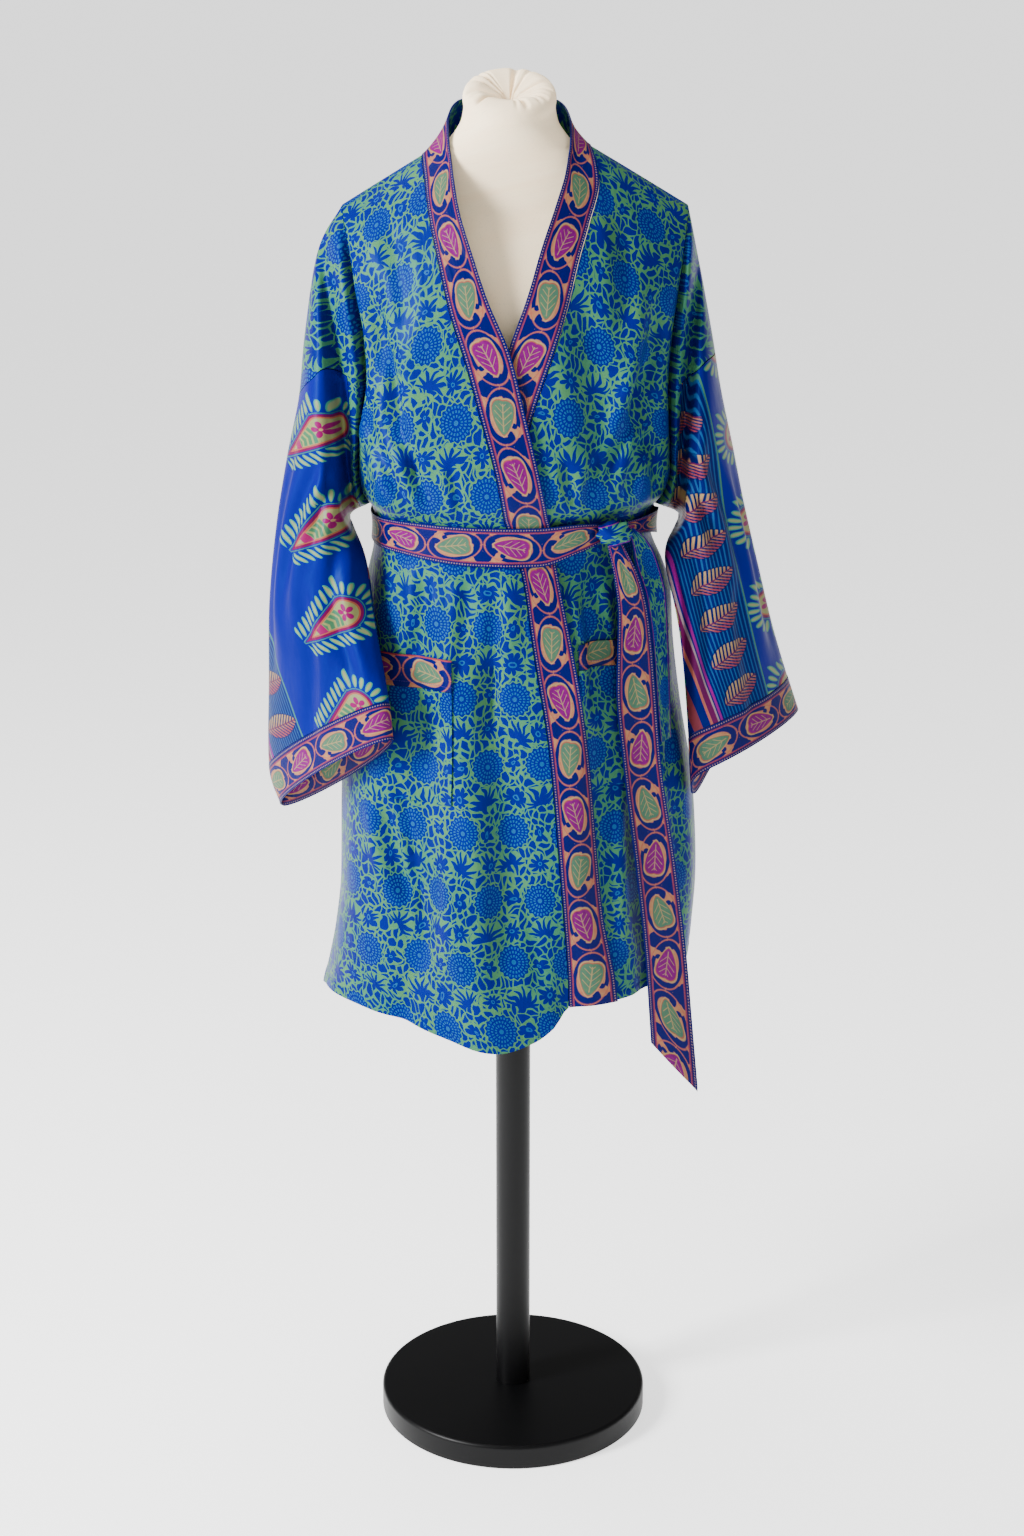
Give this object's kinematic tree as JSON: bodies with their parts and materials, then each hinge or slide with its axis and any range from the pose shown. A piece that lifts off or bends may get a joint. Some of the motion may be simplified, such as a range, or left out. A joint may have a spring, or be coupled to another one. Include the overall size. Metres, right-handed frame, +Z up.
{
  "type": "sari kimono robe on a limbless dress form with a pole stand",
  "caption": "Short wrap robe of printed sari silk with wide sleeves, a border neckband and a knotted belt, on a limbless dress form and round-based stand",
  "frame": {"origin": "centre of the base's underside, on the floor under the pole", "axes": "+Z up, -Y the robe's front, -X the wearer's right, which is the viewer's left"},
  "size_m": [0.6229, 0.349, 1.6345],
  "materials": {
    "printed_silk": "satin silk, royal blue flowers on sage green",
    "sleeve_silk": "satin silk, royal blue with paisley and striped border",
    "border_silk": "satin silk, medallion border in pink, sage, peach and blue",
    "belt_silk": "satin silk, medallion border in front and flowers behind",
    "calico": "plain weave cotton, matt",
    "black_metal": "satin black paint"
  },
  "bodies": {
    "root": {"stand_base": "black_metal", "stand_pole": "black_metal", "dress_form": "calico", "back": "printed_silk", "front_right": "printed_silk", "front_left": "printed_silk", "pocket_right": "printed_silk", "pocket_left": "printed_silk", "sleeve_head_right": "printed_silk", "sleeve_head_left": "printed_silk", "sleeve_right": "sleeve_silk", "sleeve_left": "sleeve_silk", "neckband_right": "border_silk", "neckband_left": "border_silk", "pocket_band_right": "border_silk", "pocket_band_left": "border_silk", "cuff_right": "border_silk", "cuff_left": "border_silk", "belt_waist": "belt_silk", "belt_knot": "belt_silk", "belt_end_long": "belt_silk", "belt_end_short": "belt_silk"}
  },
  "joints": []
}
